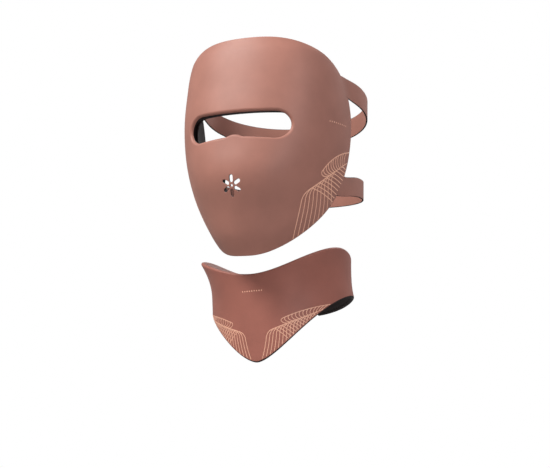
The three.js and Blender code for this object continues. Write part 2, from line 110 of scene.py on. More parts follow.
COLLAR_CONTROLS_AT, COLLAR_CONTROL_LEVELS = -84, (-6, 6, -24)  # degrees; key, light and contact
COLLAR_SEAM = 70  # degrees from the front, where the side pieces start
COLLAR_END = 171.6

cover_low, cover_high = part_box("face_cover")


# ---------------------------------------------------------------- small helpers
def first_slot(_):
    """Every strip or side in the piece's first material."""
    return 0


def signed_power(value, power):
    return np.sign(value) * np.abs(value) ** power


def spot(surface, across, height):
    """One place of a surface function."""
    return surface(np.array([[across, height]], float))[0]


def mix(a, b, t):
    return a + (b - a) * t


def smooth(t):
    t = np.clip(t, 0, 1)
    return t * t * (3 - 2 * t)


def unit(vectors):
    return vectors / np.linalg.norm(vectors, axis=-1, keepdims=True)


def bezier(points, count):
    """Points along a cubic or quadratic Bezier curve."""
    t = np.linspace(0, 1, count)[:, None]
    p = [np.array(q, float) for q in points]
    if len(p) == 3:
        return (1 - t) ** 2 * p[0] + 2 * t * (1 - t) * p[1] + t ** 2 * p[2]
    return (1 - t) ** 3 * p[0] + 3 * t * (1 - t) ** 2 * p[1] + 3 * t ** 2 * (1 - t) * p[2] + t ** 3 * p[3]


def arc(centre, radius, start, end, count):
    angle = np.linspace(start, end, count)
    return np.stack([centre[0] + radius * np.cos(angle), centre[1] + radius * np.sin(angle)], -1)


def resample(line, spacing, closed=False):
    """The same line with points an even distance apart."""
    line = np.vstack([line, line[:1]]) if closed else np.asarray(line, float)
    run = np.concatenate([[0], np.cumsum(np.linalg.norm(np.diff(line, axis=0), axis=1))])
    count = max(int(round(run[-1] / spacing)), 3)
    at = np.linspace(0, run[-1], count + 1)
    if closed:
        at = at[:-1]
    return np.stack([np.interp(at, run, line[:, k]) for k in range(line.shape[1])], -1)


def contains(loop, points):
    """Which of the points lie inside a closed loop."""
    x, y = points[:, 0], points[:, 1]
    found = np.zeros(len(points), bool)
    for (x1, y1), (x2, y2) in zip(loop, np.roll(loop, -1, axis=0)):
        if y1 == y2:
            continue
        crosses = (y1 > y) != (y2 > y)
        found ^= crosses & (x < (x2 - x1) * (y - y1) / (y2 - y1) + x1)
    return found


# ---------------------------------------------------------------- the face's surface
def station_curve(column):
    """Smooth curve through one column of the stations, as a function of height."""
    at, value = STATIONS[:, 0], STATIONS[:, column]
    last = len(at) - 1
    before, after = np.maximum(np.arange(last + 1) - 1, 0), np.minimum(np.arange(last + 1) + 1, last)
    slope = (value[after] - value[before]) / (at[after] - at[before])

    def curve(z):
        k = np.clip(np.searchsorted(at, z), 1, last)
        span = at[k] - at[k - 1]
        t = (z - at[k - 1]) / span
        return (value[k - 1] * (1 + 2 * t) * (1 - t) ** 2 + slope[k - 1] * span * t * (1 - t) ** 2
                + value[k] * t * t * (3 - 2 * t) + slope[k] * span * t * t * (t - 1))
    return curve


half_width = station_curve(1)
front_depth = station_curve(2)


def nose_swell(z):
    return NOSE_SWELL * np.exp(-(((z - NOSE_HEIGHT) / NOSE_SPREAD) ** 2))


MIDDLE_LINE = np.linspace(-FACE_BOTTOM, FACE_TOP, 2000)
FRONT = (front_depth(MIDDLE_LINE) + nose_swell(MIDDLE_LINE)).max()
FACE_ORIGIN = np.array([0.0, cover_low.y / MM + FRONT, cover_high.z / MM - FACE_TOP])


def across_share(t):
    return 3 * t * (1 - t) ** 2 * CHEEK + 3 * t * t * (1 - t) * CORNER + t ** 3 * RIM


def face_point(p):
    u, z = p[:, 0] / ARC, p[:, 1]
    t = np.abs(u)
    depth = (1 - t) ** 3 + 3 * t * (1 - t) ** 2 + 3 * t * t * (1 - t) * CORNER_DEPTH
    x = np.sign(u) * half_width(z) * across_share(t)
    swell = nose_swell(z) * (1 - np.minimum(t, 1) ** 2) ** 4
    return np.stack([x, RIM_DEPTH * t ** 3 - front_depth(z) * depth - swell, z], -1)


def face_power(z):
    return np.where(z > 0, TOP_POWER, BOTTOM_POWER)


def height_share(z):
    return np.clip(np.where(z > 0, z / FACE_TOP, -z / FACE_BOTTOM), 0, 1)


def reach(z):
    power = face_power(z)
    return (1 - height_share(z) ** power) ** (1 / power)


def outline_share(p):
    """0 at the middle of the face and 1 on its outline."""
    power = face_power(p[:, 1])
    return (np.abs(p[:, 0] / ARC) ** power + height_share(p[:, 1]) ** power) ** (1 / power)


def face_liner_depth(p):
    return COVER + RIM_GAP + HOLLOW * smooth((1 - outline_share(p)) / 0.2)


# ---------------------------------------------------------------- the collar's surface
def collar_top(a):
    return 10.5 - np.cos(a) - 10 * np.cos(2 * a) - 3.5 * np.cos(3 * a)


def collar_bottom(a):
    bib = 49 * np.exp(-((np.abs(a) / radians(43.4)) ** 1.6))
    return -(36 + 4 * np.cos(a) + 8 * np.cos(2 * a) + bib)


def collar_point(p):
    a, level = p[:, 0] / COLLAR_ARC, p[:, 1]
    f = (level - collar_bottom(a)) / (collar_top(a) - collar_bottom(a))
    top_flare = 1.2 + 11 * np.exp(-(((np.abs(a) - radians(50)) / radians(28)) ** 2))
    bottom_flare = 4 * (0.5 - 0.5 * np.cos(a)) ** 2
    upper_share, lower_share = np.maximum((f - 0.35) / 0.65, 0), np.maximum((0.4 - f) / 0.4, 0)
    grow = top_flare * upper_share ** 2 + bottom_flare * lower_share ** 2
    x = (COLLAR_X + grow) * np.sin(a)
    y = COLLAR_CENTRE - (COLLAR_Y + grow) * np.cos(a)
    return tilted(np.stack([x, y, COLLAR_LEVEL + level], -1))


def tilted(points):
    """From the collar's own frame to the face's."""
    x, y, z = points[..., 0], points[..., 1], points[..., 2]
    across = x * cos(COLLAR_TILT) - z * sin(COLLAR_TILT)
    up = x * sin(COLLAR_TILT) + z * cos(COLLAR_TILT)
    return np.stack([across, y, up + COLLAR_PIVOT], -1)


def collar_liner_depth(p):
    a, level = p[:, 0] / COLLAR_ARC, p[:, 1]
    edge = np.minimum(collar_top(a) - level, level - collar_bottom(a))
    return COLLAR_COVER + RIM_GAP + COLLAR_HOLLOW * smooth(edge / 12)


# ---------------------------------------------------------------- lifting the domain
def tangents(point, p, step=0.05):
    across = (point(p + [step, 0]) - point(p - [step, 0])) / (2 * step)
    up = (point(p + [0, step]) - point(p - [0, step])) / (2 * step)
    return across, up


def normal(point, p):
    return unit(np.cross(*tangents(point, p)))


def skin(point, p, depth=0.0):
    """The surface moved inwards by a depth, one number or one for each point."""
    depth = np.broadcast_to(np.asarray(depth, float), (len(p),))
    return point(p) - normal(point, p) * depth[:, None]


def edge_outward(point, loop):
    """Along the surface and away from the material, for an outline turning left or a hole turning right."""
    place = point(loop)
    along = np.roll(place, -1, axis=0) - np.roll(place, 1, axis=0)
    return unit(np.cross(along, normal(point, loop)))


def shift(point, p, move):
    """Domain points moved by small vectors that lie along the lifted surface."""
    across, up = tangents(point, p)
    aa, au, uu = (across * across).sum(1), (across * up).sum(1), (up * up).sum(1)
    ma, mu = (move * across).sum(1), (move * up).sum(1)
    scale = aa * uu - au * au
    return p + np.stack([(uu * ma - au * mu) / scale, (aa * mu - au * ma) / scale], -1)


def inset(point, loop, distance, steps=3):
    """A loop moved into the material by a distance on the surface."""
    for _ in range(steps):
        loop = shift(point, loop, -edge_outward(point, loop) * distance / steps)
    return loop


def round_loop(point, centre, radius, spacing):
    """A circle on the surface, turning right as a hole does."""
    count = max(int(2 * pi * radius / spacing), 12)
    angle = -np.arange(count) * 2 * pi / count
    start = np.repeat(np.array([centre], float), count, axis=0)
    first = unit(tangents(point, start)[0])
    second = unit(np.cross(normal(point, start), first))
    move = radius * (first * np.cos(angle)[:, None] + second * np.sin(angle)[:, None])
    return shift(point, start, move)


# ---------------------------------------------------------------- meshes
def put_in_scene(thing):
    bpy.context.scene.collection.objects.link(thing)


class Shape:
    """Points in the face's frame with their normals, and faces with a material slot each."""

    def __init__(self):
        self.points, self.normals, self.faces, self.slots = [], [], [], []
        self.count = 0

    def add(self, points, normals=None):
        first = self.count
        self.points.append(np.asarray(points, float))
        self.normals.append(np.zeros_like(self.points[-1]) if normals is None else np.asarray(normals, float))
        self.count += len(points)
        return np.arange(first, self.count)

    def face(self, corners, slot=0):
        self.faces.append([int(c) for c in corners])
        self.slots.append(slot)

    def strip(self, first, second, slot=0, closed=True):
        """Quads between two rings of points."""
        count = len(first)
        for i in range(count if closed else count - 1):
            j = (i + 1) % count
            self.face((first[i], second[i], second[j], first[j]), slot)


def stand_for(piece, body, node):
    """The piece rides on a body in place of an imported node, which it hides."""
    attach(piece, body)
    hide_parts(node)


def make(name, shape, materials, sharp=None):
    """A Blender object. Points whose normal is nought take their face's own normal."""
    points = (np.vstack(shape.points) + FACE_ORIGIN) * MM
    normals = np.vstack(shape.normals)
    mesh = bpy.data.meshes.new(name)
    mesh.from_pydata(points.tolist(), [], shape.faces)
    for material in materials:
        mesh.materials.append(material)
    mesh.polygons.foreach_set("material_index", shape.slots)
    mesh.polygons.foreach_set("use_smooth", [True] * len(shape.faces))
    mesh.update()
    if sharp is not None:
        mesh.set_sharp_from_angle(angle=radians(sharp))
    elif np.abs(normals).sum() > 0:
        flat = np.abs(normals).sum(1) == 0
        corner_normals = []
        for polygon in mesh.polygons:
            own = polygon.normal
            corner_normals += [own if flat[v] else normals[v] for v in polygon.vertices]
        mesh.normals_split_custom_set([tuple(n) for n in corner_normals])
    piece = bpy.data.objects.new(name, mesh)
    put_in_scene(piece)
    return piece


def mesh_domain(outline, holes, spacing):
    """Triangles over a flat region, returned as points and corner triples that turn left."""
    step_up = spacing * 0.866
    low, high = outline.min(0), outline.max(0)
    rows = []
    for k, z in enumerate(np.arange(low[1], high[1], step_up)):
        across = np.arange(low[0] + (k % 2) * spacing / 2, high[0], spacing)
        rows.append(np.stack([across, np.full(len(across), z)], -1))
    grid = np.vstack(rows)
    keep = contains(outline, grid)
    for hole in holes:
        keep &= ~contains(hole, grid)
    grid = grid[keep]
    edge_points = np.vstack([outline, *holes])
    for part in np.array_split(edge_points, 12):
        if len(grid) == 0 or len(part) == 0:
            continue
        gap = np.linalg.norm(grid[:, None] - part[None], axis=2).min(1)
        grid = grid[gap > 0.6 * spacing]
    points = np.vstack([edge_points, grid])
    edges, first = [], 0
    for loop in [outline, *holes]:
        edges += [(first + i, first + (i + 1) % len(loop)) for i in range(len(loop))]
        first += len(loop)
    made = delaunay_2d_cdt([Vector(p) for p in points], edges, [], 0, 1e-7)
    origin = [ids[0] for ids in made[3]]
    triangles = np.array([[origin[v] for v in face] for face in made[2]])
    middle = points[triangles].mean(1)
    keep = contains(outline, middle)
    for hole in holes:
        keep &= ~contains(hole, middle)
    triangles = triangles[keep]
    a, b, c = points[triangles[:, 0]], points[triangles[:, 1]], points[triangles[:, 2]]
    left = (b - a)[:, 0] * (c - a)[:, 1] - (b - a)[:, 1] * (c - a)[:, 0] > 0
    triangles[~left] = triangles[~left][:, ::-1]
    return points, triangles


def half_round(radius, count=9, depth=0.0):
    """Rim profile of a full round: (outward, depth) pairs between the two faces, without its ends."""
    angle = np.linspace(0, pi, count)[1:-1]
    return [(radius * sin(t), depth + radius * (1 - cos(t))) for t in angle]


def quarter_round(radius, count=6):
    angle = np.linspace(0, pi / 2, count)[1:]
    return [(radius * sin(t), radius * (1 - cos(t))) for t in angle]


def sheet(point, edges, spacing, outer, inner, inner_slot=0):
    """A moulded sheet between two depths. edges is a list of (loop, rim profile, slot of each rim strip)."""
    loops = [loop for loop, _, _ in edges]
    domain, triangles = mesh_domain(loops[0], loops[1:], spacing)
    lifted_normal = normal(point, domain)
    front = outer(domain) if callable(outer) else np.full(len(domain), float(outer))
    back = inner(domain) if callable(inner) else np.full(len(domain), float(inner))
    shape = Shape()
    outside = shape.add(skin(point, domain, front), lifted_normal)
    inside = shape.add(skin(point, domain, back), -lifted_normal)
    for a, b, c in triangles:
        shape.face((outside[a], outside[b], outside[c]))
        shape.face((inside[a], inside[c], inside[b]), inner_slot)
    first = 0
    for loop, profile, slots in edges:
        here = slice(first, first + len(loop))
        away, up = edge_outward(point, loop), lifted_normal[here]
        base = skin(point, loop, front[here])
        path = [(0, 0), *profile, (0, float((back[here] - front[here]).mean()))]
        ring = outside[here]
        for k in range(1, len(path) - 1):
            out, depth = path[k]
            turn = np.array(path[k + 1]) - np.array(path[k - 1])
            turn = turn / max(np.linalg.norm(turn), 1e-9)
            rim = base + away * out - up * depth
            rim_ring = shape.add(rim, unit(up * turn[0] + away * turn[1]))
            shape.strip(ring, rim_ring, slots(k - 1))
            ring = rim_ring
        shape.strip(ring, inside[here], slots(len(path) - 2))
        first += len(loop)
    return shape


def loft(shape, rings, slot_of=None, before=None, after=None, caps=True):
    """Closed cross sections joined along their length. before and after are those beyond the two ends."""
    rings = np.asarray(rings)
    padded = np.concatenate([
        rings[:1] * 2 - rings[1:2] if before is None else before[None], rings,
        rings[-1:] * 2 - rings[-2:-1] if after is None else after[None],
    ])
    along = padded[2:] - padded[:-2]
    around = np.roll(rings, -1, axis=1) - np.roll(rings, 1, axis=1)
    facing = unit(np.cross(around, along))
    made = [shape.add(ring, face_normal) for ring, face_normal in zip(rings, facing)]
    count = rings.shape[1]
    for first, second in zip(made[:-1], made[1:]):
        for i in range(count):
            j = (i + 1) % count
            shape.face((first[i], first[j], second[j], second[i]), slot_of(i) if slot_of else 0)
    if caps:
        for ring, corners in ((rings[0], slice(None, None, -1)), (rings[-1], slice(None))):
            shape.face(shape.add(ring)[corners], slot_of(0) if slot_of else 0)
    return shape


def turned(shape, centre, axis, profile, segments=48, slot_of=None):
    """A round piece about an axis, from (radius, height) pairs that run from its back to its front."""
    axis = unit(np.asarray(axis, float))
    side = unit(np.cross(axis, [0.31, 0.2, 0.93]))
    other = np.cross(axis, side)
    angle = np.arange(segments) * 2 * pi / segments
    spoke = side * np.cos(angle)[:, None] + other * np.sin(angle)[:, None]
    rings = [shape.add(centre + spoke * r + axis * h) for r, h in profile if r > 0]
    for k, (first, second) in enumerate(zip(rings[:-1], rings[1:])):
        for i in range(segments):
            j = (i + 1) % segments
            shape.face((first[i], first[j], second[j], second[i]), slot_of(k) if slot_of else 0)
    last = slot_of(len(rings)) if slot_of else 0
    shape.face(rings[0][::-1], 0)
    shape.face(rings[-1], last)
    return shape


# ---------------------------------------------------------------- materials
def node_material(name):
    material = bpy.data.materials.new(name)
    material.use_nodes = True
    tree = material.node_tree
    return material, tree, tree.nodes["Principled BSDF"]


def noise(tree, scale, detail=3.0):
    """Noise over the object's own space, in features per metre."""
    place = tree.nodes.new("ShaderNodeTexCoord")
    texture = tree.nodes.new("ShaderNodeTexNoise")
    texture.inputs["Scale"].default_value = scale
    texture.inputs["Detail"].default_value = detail
    tree.links.new(place.outputs["Object"], texture.inputs["Vector"])
    return texture


def colour_between(tree, factor, low, high, start=0.35, end=0.65):
    ramp = tree.nodes.new("ShaderNodeValToRGB")
    ramp.color_ramp.elements[0].position = start
    ramp.color_ramp.elements[1].position = end
    ramp.color_ramp.elements[0].color = (*low, 1)
    ramp.color_ramp.elements[1].color = (*high, 1)
    tree.links.new(factor, ramp.inputs["Fac"])
    return ramp.outputs["Color"]


def tint(tree, shader, texture, low, high, start=0.35, end=0.65):
    """Base colour that runs from low to high with a texture."""
    colour = colour_between(tree, texture.outputs["Fac"], low, high, start, end)
    tree.links.new(colour, shader.inputs["Base Color"])


def settings(shader, **values):
    """Set plain inputs of the shader; Sheen_Weight stands for its input called Sheen Weight."""
    for name, value in values.items():
        shader.inputs[name.replace("_", " ")].default_value = value


def value_between(tree, factor, low, high):
    spread = tree.nodes.new("ShaderNodeMapRange")
    spread.inputs["To Min"].default_value = low
    spread.inputs["To Max"].default_value = high
    tree.links.new(factor, spread.inputs["Value"])
    return spread.outputs["Result"]


def grain(tree, shader, heights):
    """Bump from several (texture output, strength, distance in metres) layers, the first one lowest."""
    below = None
    for height, strength, distance in heights:
        bump = tree.nodes.new("ShaderNodeBump")
        bump.inputs["Strength"].default_value = strength
        bump.inputs["Distance"].default_value = distance
        tree.links.new(height, bump.inputs["Height"])
        if below is not None:
            tree.links.new(below, bump.inputs["Normal"])
        below = bump.outputs["Normal"]
    tree.links.new(below, shader.inputs["Normal"])


def silicone(name, colour, shade=0.06, roughness=0.5, sheen=0.1):
    """Soft-touch moulded silicone: mottled a little, with a fine satin grain and a dusty sheen."""
    material, tree, shader = node_material(name)
    cloud = noise(tree, 28, 4)
    fine = noise(tree, 2600, 2)
    soft = noise(tree, 420, 3)
    low = [c * (1 - shade) for c in colour]
    high = [min(c * (1 + shade), 1) for c in colour]
    tint(tree, shader, cloud, low, high)
    rough = value_between(tree, soft.outputs["Fac"], roughness - 0.07, roughness + 0.07)
    tree.links.new(rough, shader.inputs["Roughness"])
    grain(tree, shader, [(soft.outputs["Fac"], 0.06, 0.0004), (fine.outputs["Fac"], 0.16, 0.00012)])
    settings(shader, Sheen_Weight=sheen, Sheen_Roughness=0.45, Sheen_Tint=(1.0, 0.85, 0.78, 1), IOR=1.42)
    return material


def moulded_plastic(name, colour, roughness=0.38):
    """Spark-textured plastic."""
    material, tree, shader = node_material(name)
    cloud, fine = noise(tree, 60), noise(tree, 3800, 2)
    low, high = [c * 0.85 for c in colour], [c * 1.15 for c in colour]
    tint(tree, shader, cloud, low, high)
    tree.links.new(value_between(tree, fine.outputs["Fac"], roughness - 0.08, roughness + 0.1),
                   shader.inputs["Roughness"])
    grain(tree, shader, [(fine.outputs["Fac"], 0.25, 0.0001)])
    return material


def film_board(name, base, trace, stripes):
    """A flexible or rigid board: a tinted film with rows of metal traces under it."""
    material, tree, shader = node_material(name)
    place = tree.nodes.new("ShaderNodeTexCoord")
    wave = tree.nodes.new("ShaderNodeTexWave")
    wave.bands_direction = "Z"
    wave.inputs["Scale"].default_value = stripes
    wave.inputs["Distortion"].default_value = 0.6
    tree.links.new(place.outputs["Object"], wave.inputs["Vector"])
    fine = noise(tree, 1800, 2)
    tint(tree, shader, wave, base, trace, 0.72, 0.78)
    grain(tree, shader, [(wave.outputs["Fac"], 0.3, 0.00006), (fine.outputs["Fac"], 0.1, 0.00005)])
    settings(shader, Roughness=0.36)
    return material


def pouch_foil(name):
    """Crinkled foil round a battery pouch."""
    material, tree, shader = node_material(name)
    crease, fine = noise(tree, 240, 6), noise(tree, 1600, 2)
    tint(tree, shader, crease, (0.5, 0.5, 0.52), (0.78, 0.78, 0.8))
    settings(shader, Metallic=0.85, Roughness=0.32)
    grain(tree, shader, [(crease.outputs["Fac"], 0.5, 0.0006), (fine.outputs["Fac"], 0.1, 0.0001)])
    return material


def plated_gold(name):
    """Satin gold plate with faint turning marks."""
    material, tree, shader = node_material(name)
    fine, cloud = noise(tree, 5200, 2), noise(tree, 300)
    tint(tree, shader, cloud, (0.7, 0.46, 0.2), (0.9, 0.66, 0.34))
    settings(shader, Metallic=1.0)
    tree.links.new(value_between(tree, fine.outputs["Fac"], 0.18, 0.4), shader.inputs["Roughness"])
    grain(tree, shader, [(fine.outputs["Fac"], 0.15, 0.00005)])
    return material


def milky_lens(name, colour):
    """A frosted light pipe or LED window."""
    material, tree, shader = node_material(name)
    cloud, fine = noise(tree, 900), noise(tree, 4000, 2)
    tint(tree, shader, cloud, [c * 0.88 for c in colour], colour)
    settings(shader, Subsurface_Weight=0.4, Subsurface_Scale=0.001, Roughness=0.16, Coat_Weight=0.6)
    grain(tree, shader, [(fine.outputs["Fac"], 0.05, 0.00005)])
    return material


def print_ink_painted_glow(name, colour):
    """Raised pearly peach ink with a painted glow: a little emission in its own colour keeps it brighter than
    what it lies on, also in shade.
    """
    material, tree, shader = node_material(name)
    cloud, fine = noise(tree, 500, 4), noise(tree, 3000, 2)
    tint(tree, shader, cloud, [c * 0.9 for c in colour], colour)
    # The emission is a painted glow in the ink's own colour, standing in for light on the thin lines.
    settings(shader, Roughness=0.42, Emission_Color=(*colour, 1), Emission_Strength=0.22)
    grain(tree, shader, [(fine.outputs["Fac"], 0.15, 0.00006)])
    return material


ROSE = silicone("rose_silicone", (0.50, 0.222, 0.168))
# The collar's copy of the rose silicone, darker and redder: painted shade for the mask's shadow over the
# collar.
ROSE_PAINTED_SHADE = silicone("rose_silicone_painted_shade", (0.45, 0.165, 0.122))
LINING = silicone("lining_silicone", (0.022, 0.012, 0.011), 0.12, 0.6, 0.0)
PLASTIC = moulded_plastic("dark_plastic", (0.075, 0.042, 0.037))
FILM = film_board("flex_board", (0.40, 0.17, 0.05), (0.62, 0.30, 0.12), 160)
BOARD = film_board("circuit_board", (0.02, 0.12, 0.05), (0.10, 0.28, 0.12), 240)
FOIL = pouch_foil("battery_foil")
GOLD = plated_gold("contact_gold")
LENS = milky_lens("light_lens", (0.86, 0.84, 0.80))
LED_WINDOW = milky_lens("led_window", (0.62, 0.40, 0.36))
# Peach print ink, with a painted glow.
PRINT_INK_PAINTED_GLOW = print_ink_painted_glow("peach_print_painted_glow", (0.84, 0.46, 0.32))


# ---------------------------------------------------------------- openings
def slot_x(x, z):
    """Domain coordinate of a place given by its true x and height."""
    t = np.linspace(0, 0.8, 400)
    return np.sign(x) * ARC * np.interp(np.abs(x) / half_width(z), across_share(t), t)


def slot_loop(grow, spacing):
    """The eye slot's outline in true x and z, turning left: round ended, with a hump over the nose."""
    radius, middle = (SLOT_HIGH - SLOT_LOW) / 2, (SLOT_HIGH + SLOT_LOW) / 2
    end = SLOT_HALF - radius
    half, base = NOSE_HALF, NOSE_LOW - grow
    hump = base + NOSE_RISE
    line = np.vstack([
        bezier([(-half, base), (-half / 2, base), (-half / 2, hump), (0, hump)], 12),
        bezier([(0, hump), (half / 2, hump), (half / 2, base), (half, base)], 12)[1:],
        arc((end, middle), radius + grow, -pi / 2, pi / 2, 40),
        arc((-end, middle), radius + grow, pi / 2, 1.5 * pi, 40),
    ])
    return resample(line, spacing, closed=True)


def slot_domain(grow, spacing):
    line = slot_loop(grow, spacing)[::-1]
    return np.stack([slot_x(line[:, 0], line[:, 1]), line[:, 1]], -1)


def vent_loops(point, spacing):
    """Round-ended slits like spokes about a small hole, each turning right."""
    loops = [round_loop(point, (0, VENT_HEIGHT), VENT_CENTRE, spacing)]
    stretch = np.array([ARC / (3 * CHEEK * half_width(VENT_HEIGHT)), 1])
    for k in range(VENT_SLITS):
        turn = pi / 2 + k * 2 * pi / VENT_SLITS
        spoke = np.array([cos(turn), sin(turn)])
        outer = spoke * (VENT_TO - VENT_RADIUS)
        inner = spoke * (VENT_FROM + VENT_RADIUS)
        line = np.vstack([
            arc(outer, VENT_RADIUS, turn - pi / 2, turn + pi / 2, 14),
            arc(inner, VENT_RADIUS, turn + pi / 2, turn + 1.5 * pi, 14),
        ])
        loops.append(resample(line, spacing, closed=True)[::-1] * stretch + [0, VENT_HEIGHT])
    return loops


def face_outline(spacing):
    angle = np.linspace(0, 2 * pi, 4000, endpoint=False)
    power = np.where(np.sin(angle) > 0, TOP_POWER, BOTTOM_POWER)
    height = np.where(np.sin(angle) > 0, FACE_TOP, FACE_BOTTOM)
    across = signed_power(np.cos(angle), 2 / power)
    up = signed_power(np.sin(angle), 2 / power)
    return resample(np.stack([across * ARC, up * height], -1), spacing, closed=True)


# ---------------------------------------------------------------- the face unit
def face_shell():
    """The rose outer sheet: full-round rim, a soft lip round the eye slot, the vent and the control holes."""
    rim = COVER / 2
    lip = quarter_round(SLOT_LIP, 9) + [(SLOT_LIP - 0.4, SLOT_LIP + 0.35), (SLOT_LIP - 1.2, SLOT_LIP + 0.2)]
    small = quarter_round(0.45, 5) + [(0.45, COVER - 0.3), (0.25, COVER - 0.05)]
    edges = [
        (inset(face_point, face_outline(2.2), rim), half_round(rim, 11), lambda k: 0 if k < 6 else 1),
        (slot_domain(SLOT_LIP, 1.3), lip, first_slot),
    ]
    for loop in vent_loops(face_point, 0.55):
        edges.append((inset(face_point, loop, 0.45, 1), small, lambda k: 0 if k < 4 else 1))
    for height, radius in (
            (BUTTON_HEIGHT, KEY_RADIUS), (LIGHT_HEIGHT, LIGHT_RADIUS), (CONTACT_HEIGHT, CONTACT_RADIUS)
    ):
        loop = round_loop(face_point, (CONTROL_U * ARC, height), radius + HOLE_GAP + 0.45, 0.7)
        edges.append((loop, small, lambda k: 0 if k < 4 else 1))
    piece = make("face_shell", sheet(face_point, edges, 2.9, 0.0, COVER), [ROSE, LINING])
    stand_for(piece, "face_mask", "face_cover")


FACE_LED_ROWS = [  # from and to across in u, from and to in height, count
    (-0.45, 0.45, 77, 85, 9), (-0.7, 0.7, 46, 54, 13), (-0.13, 0.13, -22, -15, 2), (-0.38, 0.38, -96, -88, 6),
    (0.54, 0.62, -4, 36, 1), (0.2, 0.72, -33, -25, 6), (0.2, 0.68, -66, -58, 5),
    (-0.62, -0.54, -4, 36, 1), (-0.72, -0.2, -33, -25, 6), (-0.68, -0.2, -66, -58, 5),
]


def led_windows(shape, point, spots, depth, slot, radius=2.6, proud=0.9):
    """Low domes moulded into the lining over each LED, on its skin side."""
    for spot in spots:
        p = np.array([spot], float)
        inward = -normal(point, p)[0]
        centre = skin(point, p, depth(p))[0]
        dome = [(radius + 0.5, -0.7), (radius + 0.5, 0.12), (radius + 0.15, 0.22), (radius, 0.1)]
        dome += [(radius * cos(t), 0.1 + proud * sin(t)) for t in np.linspace(0.15, 1.35, 6)]
        turned(shape, centre, inward, dome, 20, lambda k: 0 if k < 3 else slot)


def face_lining():
    """The dark skin-side sheet, with a short spout that joins the vent and a clear dome over every LED."""
    rim = LINER / 2
    spout = [(0.3, -HOLLOW), (0.9, -HOLLOW - 0.25), (1.5, -HOLLOW), (1.6, LINER * 0.5), (1.1, LINER * 0.95)]
    outline = inset(face_point, face_outline(2.6), 0.9)
    edges = [
        (outline, half_round(rim), first_slot),
        (slot_domain(GASKET_WALL + 0.4 + rim, 1.8), half_round(rim), first_slot),
        (round_loop(face_point, (0, VENT_HEIGHT), VENT_CHAMBER + 1.6, 1.2), spout, first_slot),
    ]
    inner = lambda p: face_liner_depth(p) + LINER
    shape = sheet(face_point, edges, 3.4, face_liner_depth, inner)
    spots = [(mix(a, b, (k + 0.5) / count) * ARC, (low + high) / 2)
             for a, b, low, high, count in FACE_LED_ROWS for k in range(count)]
    led_windows(shape, face_point, spots, inner, 1)
    piece = make("face_lining", shape, [LINING, LED_WINDOW])
    stand_for(piece, "face_mask", "face_liner")


def eye_surround():
    """The deep dark wall inside the eye slot, rounded over at the back."""
    section = [(GASKET_WALL, 3.0), (0.05, 3.0), (0.0, 4.0), (0.0, 7.5), (0.0, GASKET_BACK - 1.6)]
    section += [(1.1 - 1.1 * cos(t), GASKET_BACK - 1.1 + 1.1 * sin(t)) for t in np.linspace(0, pi, 9)]
    section += [(GASKET_WALL, GASKET_BACK - 2), (GASKET_WALL, 8.0)]
    rings = []
    for grow, depth in section:
        line = slot_loop(grow, 1.3)
        line = resample_to(line, 190)
        p = np.stack([slot_x(line[:, 0], line[:, 1]), line[:, 1]], -1)
        back = depth / -normal(face_point, p)[:, 1]
        rings.append(np.stack([line[:, 0], face_point(p)[:, 1] + back, line[:, 1]], -1))
    grid = np.asarray(rings)
    shape = Shape()
    around = np.roll(grid, -1, axis=1) - np.roll(grid, 1, axis=1)
    deeper = np.roll(grid, -1, axis=0) - np.roll(grid, 1, axis=0)
    facing = unit(np.cross(around, deeper))
    made = [shape.add(ring, n) for ring, n in zip(grid, facing)]
    for k in range(len(made)):
        shape.strip(made[(k + 1) % len(made)], made[k])
    piece = make("eye_surround", shape, [LINING])
    stand_for(piece, "face_mask", "eye_gasket")


def resample_to(line, count):
    """A closed line as exactly so many points, starting from its first one."""
    length = np.linalg.norm(np.diff(np.vstack([line, line[:1]]), axis=0), axis=1).sum()
    made = resample(line, length / count, closed=True)
    return made[:count]


def nose_cushion():
    """A crowned pad behind the nose, thin at its edge and fullest in its middle."""
    half_across, half_up, middle = 0.13 * ARC, 11, -19
    front = COVER + RIM_GAP + HOLLOW + LINER + 0.05
    angle = np.linspace(0, 2 * pi, 900, endpoint=False)
    across = signed_power(np.cos(angle), 0.6) * half_across
    up = signed_power(np.sin(angle), 0.6) * half_up + middle
    loop = resample(np.stack([across, up], -1), 1.0, closed=True)

    def crown(p):
        share = (np.abs(p[:, 0]) / half_across) ** 3 + (np.abs(p[:, 1] - middle) / half_up) ** 3
        return front + 1.2 + 3.2 * np.sqrt(np.clip(1 - share, 0, 1))
    edges = [(loop, [(0.3, 0.3), (0.4, 0.6), (0.3, 0.9)], first_slot)]
    piece = make("nose_cushion", sheet(face_point, edges, 1.4, front, crown), [LINING])
    stand_for(piece, "face_mask", "nose_pad")


# ---------------------------------------------------------------- controls
def key_profile(radius, proud, back, lip):
    """A soft key: a lip behind the cover, a straight side, a rounded shoulder and a shallow finger dish."""
    shoulder = [(radius - 0.7 + 0.7 * cos(t), proud - 0.7 + 0.7 * sin(t)) for t in np.linspace(0, pi / 2, 7)]
    dish = [(radius * s, proud - 0.35 * (1 - (s / 0.8) ** 2)) for s in (0.8, 0.6, 0.4, 0.2, 0.05)]
    foot = [(radius + lip, -back - 0.6), (radius + lip, -back), (radius, -back), (radius, proud - 0.8)]
    return foot + shoulder + dish


def lens_profile(radius, proud, back):
    dome = [(radius * cos(t), proud - 0.25 + 0.25 * sin(t)) for t in np.linspace(0, 1.4, 6)]
    return [(radius, -back)] + dome


def contact_profile(radius, proud, back):
    """A charging contact: an outer ring, an insulating groove and a centre pad, all one height."""
    ring = [(radius, -back), (radius, proud - 0.15), (radius - 0.15, proud), (radius - 1.6, proud)]
    groove = [(radius - 1.7, proud - 0.3), (radius - 2.3, proud - 0.3)]
    pad = [(radius - 2.4, proud), (radius - 3.9, proud), (0.9, proud), (0.1, proud)]
    return ring + groove + pad


def contact_slot(k):
    """Gold, but dark in the groove."""
    return 1 if k in (3, 4, 5) else 0


